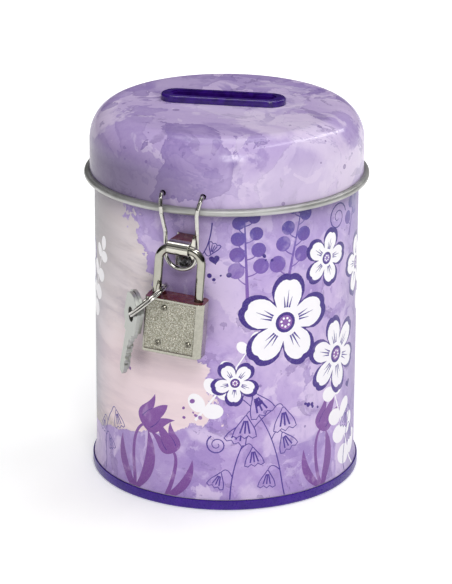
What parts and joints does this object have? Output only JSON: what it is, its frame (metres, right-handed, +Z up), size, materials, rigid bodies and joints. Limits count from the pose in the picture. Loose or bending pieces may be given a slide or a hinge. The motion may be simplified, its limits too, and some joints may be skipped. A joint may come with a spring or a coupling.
{
  "type": "money box",
  "caption": "Round tinplate money box with a hinged slip lid, a raised coin slot, and a wire hasp held to a riveted staple by a small padlock with keys on a ring.",
  "frame": {"origin": "centre of the base rim's standing ring, on the can's axis", "axes": "+Z up along the can's axis, -Y towards the hasp and padlock, +Y towards the lid hinge"},
  "size_m": [0.0916, 0.1098, 0.1241],
  "materials": {
    "can_print": "printed tinplate, satin",
    "lid_print": "printed tinplate, satin, bare curled hem",
    "base_lacquer": "gloss lacquer",
    "plated_steel": "bright plated",
    "purple_plastic": "gloss",
    "wire_chrome": "bright nickel",
    "lock_chrome": "polished",
    "lock_case": "polished plate",
    "lock_plate": "fine pebbled plate",
    "spring_steel": "drawn wire",
    "lock_brass": "machined",
    "key_steel": "stamped, satin"
  },
  "bodies": {
    "can": {"can_wall": "can_print", "base_end": "base_lacquer", "staple_bracket": "plated_steel", "staple_rivet": "plated_steel", "staple_washer": "plated_steel", "hinge_can_leaf": "plated_steel", "hinge_can_rivets": "plated_steel", "hinge_pin": "plated_steel"},
    "lid": {"lid_shell": "lid_print", "slot_insert": "purple_plastic", "hinge_lid_leaf": "plated_steel", "hinge_lid_rivets": "plated_steel"},
    "hasp": {"wire_bail": "wire_chrome"},
    "shackle_body": {"shackle": "lock_chrome"},
    "case": {"padlock_case": "lock_case", "padlock_front_plate": "lock_plate", "padlock_rivets": "lock_chrome", "shackle_spring": "spring_steel", "latch_spring": "spring_steel"},
    "plug": {"lock_plug": "lock_brass"},
    "latch": {"latch_bolt": "lock_brass"},
    "ring": {"key_ring": "wire_chrome"},
    "first_key": {"key_1": "key_steel"},
    "second_key": {"key_2": "key_steel"}
  },
  "joints": [
    {"name": "lid_hinge", "type": "hinge", "parent": "can", "child": "lid", "pos_m": [0, 0.0479, 0.0986], "axis": [-1, 0, 0], "range_deg": [0, 110]},
    {"name": "hasp_play", "type": "hinge", "parent": "lid", "child": "hasp", "pos_m": [0, -0.0433, 0.1047], "axis": [-1, 0, 0], "range_deg": [0, 4.5]},
    {"name": "padlock_swing", "type": "hinge", "parent": "can", "child": "shackle_body", "pos_m": [0.00121, -0.051, 0.08981], "axis": [-0.9976, 0, 0.0698], "range_deg": [-3, 140]},
    {"name": "case_release", "type": "slide", "parent": "shackle_body", "child": "case", "axis": [-0.0698, 0, -0.9976], "range_m": [0, 0.0055], "deforming": ["shackle_spring"]},
    {"name": "cylinder_turn", "type": "hinge", "parent": "case", "child": "plug", "pos_m": [-0.00012, -0.051, 0.05998], "axis": [-0.0698, 0, -0.9976], "range_deg": [0, 90]},
    {"name": "latch_slide", "type": "slide", "parent": "case", "child": "latch", "axis": [0.9976, 0, -0.0698], "range_m": [0, 0.0017], "deforming": ["latch_spring"]},
    {"name": "ring_swing", "type": "hinge", "parent": "shackle_body", "child": "ring", "pos_m": [-0.0043, -0.0526, 0.077], "axis": [0, 1, 0], "range_deg": [0, 35]},
    {"name": "first_key_swing", "type": "hinge", "parent": "ring", "child": "first_key", "pos_m": [-0.01339, -0.05272, 0.06737], "axis": [0.788, 0.6157, 0], "range_deg": [0, 22]},
    {"name": "second_key_swing", "type": "hinge", "parent": "ring", "child": "second_key", "pos_m": [-0.01309, -0.05066, 0.06743], "axis": [0.788, 0.6157, 0], "range_deg": [-8, 5]}
  ],
  "couplings": [
    {"joint": "cylinder_turn", "follows": "case_release", "rad_per_m": 285.59},
    {"joint": "latch_slide", "follows": "case_release", "ratio": 0.30909}
  ]
}
